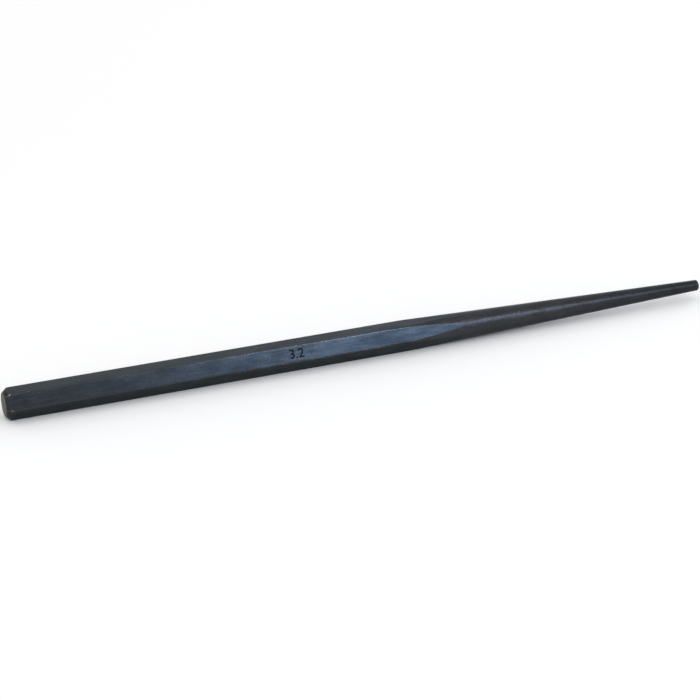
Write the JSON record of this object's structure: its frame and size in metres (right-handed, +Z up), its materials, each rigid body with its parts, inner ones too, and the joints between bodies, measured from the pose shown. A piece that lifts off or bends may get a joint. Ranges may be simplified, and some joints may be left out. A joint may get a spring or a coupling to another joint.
{
  "type": "line-up punch",
  "caption": "Hexagon steel bar with a chamfered struck end and a long round taper to a small flat tip, pushed through holes to bring them in line.",
  "frame": {"origin": "on the surface that the punch lies on, under the middle of its length and width", "axes": "+X along the tool from the struck end to the tip, +Z up from the flat that it lies on"},
  "size_m": [0.2096, 0.009, 0.0079],
  "materials": {
    "black_oxide_steel": "satin black oxide over drawn flats, ground taper and turned ends, worn bright along corners and rims"
  },
  "bodies": {
    "root": {"punch": "black_oxide_steel"}
  },
  "joints": []
}
